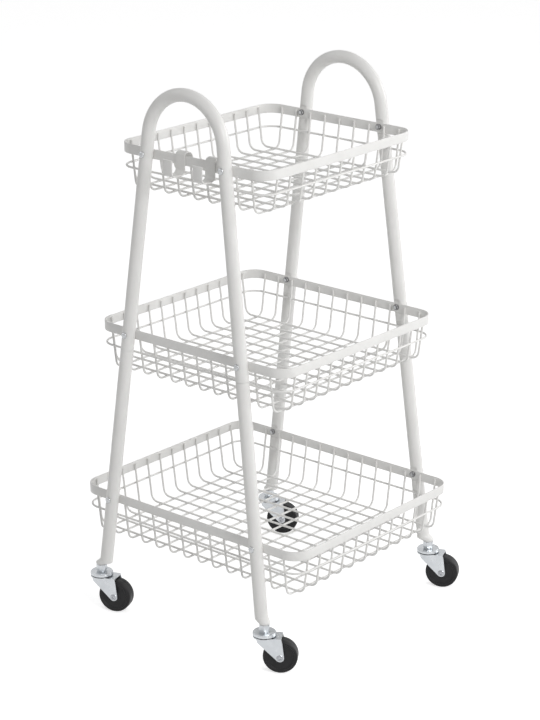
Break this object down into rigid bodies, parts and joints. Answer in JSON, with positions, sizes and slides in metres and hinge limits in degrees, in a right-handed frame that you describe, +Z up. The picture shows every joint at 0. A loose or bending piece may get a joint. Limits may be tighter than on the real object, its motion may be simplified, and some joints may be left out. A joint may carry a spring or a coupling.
{
  "type": "rolling utility cart",
  "caption": "Tiered rolling utility cart: wire baskets of growing size between two bent-tube arches on swivel casters, with lift-off hooks on the top rim.",
  "frame": {"origin": "on the floor under the middle of the frame, halfway between the arches and between the legs", "axes": "+Z up, +X from the hook side to the plain side, -Y to the long front"},
  "size_m": [0.4312, 0.4154, 0.8083],
  "materials": {
    "frame_paint": "satin off-white powder coat",
    "basket_paint": "satin off-white powder coat on flat strip",
    "wire_paint": "satin off-white powder coat on drawn wire",
    "hook_paint": "satin off-white powder coat on bent strip",
    "screw_plating": "bright plated domed head",
    "nut_steel": "dull plated steel",
    "zinc": "bright zinc plate on pressed sheet",
    "zinc_axle": "bright zinc plate, turned",
    "ball_steel": "polished hard steel",
    "wheel_rubber": "black, worn greyer on the tread"
  },
  "bodies": {
    "frame": {"arch_left": "frame_paint", "arch_right": "frame_paint", "leg_front_left": "frame_paint", "leg_back_left": "frame_paint", "leg_front_right": "frame_paint", "leg_back_right": "frame_paint", "socket_front_left": "frame_paint", "socket_back_left": "frame_paint", "socket_front_right": "frame_paint", "socket_back_right": "frame_paint", "rim_top": "basket_paint", "cross_wires_top": "wire_paint", "long_wires_top": "wire_paint", "belt_wire_top": "wire_paint", "bolts_top": "screw_plating", "nuts_top": "nut_steel", "rim_middle": "basket_paint", "cross_wires_middle": "wire_paint", "long_wires_middle": "wire_paint", "belt_wire_middle": "wire_paint", "bolts_middle": "screw_plating", "nuts_middle": "nut_steel", "rim_bottom": "basket_paint", "cross_wires_bottom": "wire_paint", "long_wires_bottom": "wire_paint", "belt_wire_bottom": "wire_paint", "bolts_bottom": "screw_plating", "nuts_bottom": "nut_steel", "caster_stem_front_left": "zinc", "top_race_front_left": "zinc", "caster_stem_back_left": "zinc", "top_race_back_left": "zinc", "caster_stem_front_right": "zinc", "top_race_front_right": "zinc", "caster_stem_back_right": "zinc", "top_race_back_right": "zinc"},
    "swivel_front_left": {"fork_front_left": "zinc", "balls_front_left": "ball_steel", "axle_front_left": "zinc_axle"},
    "roller_front_left": {"wheel_front_left": "wheel_rubber"},
    "swivel_back_left": {"fork_back_left": "zinc", "balls_back_left": "ball_steel", "axle_back_left": "zinc_axle"},
    "roller_back_left": {"wheel_back_left": "wheel_rubber"},
    "swivel_front_right": {"fork_front_right": "zinc", "balls_front_right": "ball_steel", "axle_front_right": "zinc_axle"},
    "roller_front_right": {"wheel_front_right": "wheel_rubber"},
    "swivel_back_right": {"fork_back_right": "zinc", "balls_back_right": "ball_steel", "axle_back_right": "zinc_axle"},
    "roller_back_right": {"wheel_back_right": "wheel_rubber"},
    "hook_back": {"hook_back": "hook_paint"},
    "hook_front": {"hook_front": "hook_paint"}
  },
  "joints": [
    {"name": "swivel_front_left", "type": "hinge", "parent": "frame", "child": "swivel_front_left", "pos_m": [-0.1922, -0.159, 0.053], "axis": [0, 0, 1], "continuous": true},
    {"name": "roll_front_left", "type": "hinge", "parent": "swivel_front_left", "child": "roller_front_left", "pos_m": [-0.17934, -0.17807, 0.025], "axis": [0.829, 0.5592, 0], "continuous": true},
    {"name": "swivel_back_left", "type": "hinge", "parent": "frame", "child": "swivel_back_left", "pos_m": [-0.1922, 0.159, 0.053], "axis": [0, 0, 1], "continuous": true},
    {"name": "roll_back_left", "type": "hinge", "parent": "swivel_back_left", "child": "roller_back_left", "pos_m": [-0.18396, 0.13753, 0.025], "axis": [0.9336, 0.3584, 0], "continuous": true},
    {"name": "swivel_front_right", "type": "hinge", "parent": "frame", "child": "swivel_front_right", "pos_m": [0.1922, -0.159, 0.053], "axis": [0, 0, 1], "continuous": true},
    {"name": "roll_front_right", "type": "hinge", "parent": "swivel_front_right", "child": "roller_front_right", "pos_m": [0.20228, -0.17967, 0.025], "axis": [0.8988, 0.4384, 0], "continuous": true},
    {"name": "swivel_back_right", "type": "hinge", "parent": "frame", "child": "swivel_back_right", "pos_m": [0.1922, 0.159, 0.053], "axis": [0, 0, 1], "continuous": true},
    {"name": "roll_back_right", "type": "hinge", "parent": "swivel_back_right", "child": "roller_back_right", "pos_m": [0.203, 0.13869, 0.025], "axis": [0.8829, 0.4695, 0], "continuous": true},
    {"name": "hook_back_lift", "type": "slide", "parent": "frame", "child": "hook_back", "axis": [0, 0, 1], "range_m": [0, 0.04]},
    {"name": "hook_front_lift", "type": "slide", "parent": "frame", "child": "hook_front", "axis": [0, 0, 1], "range_m": [0, 0.04]}
  ]
}
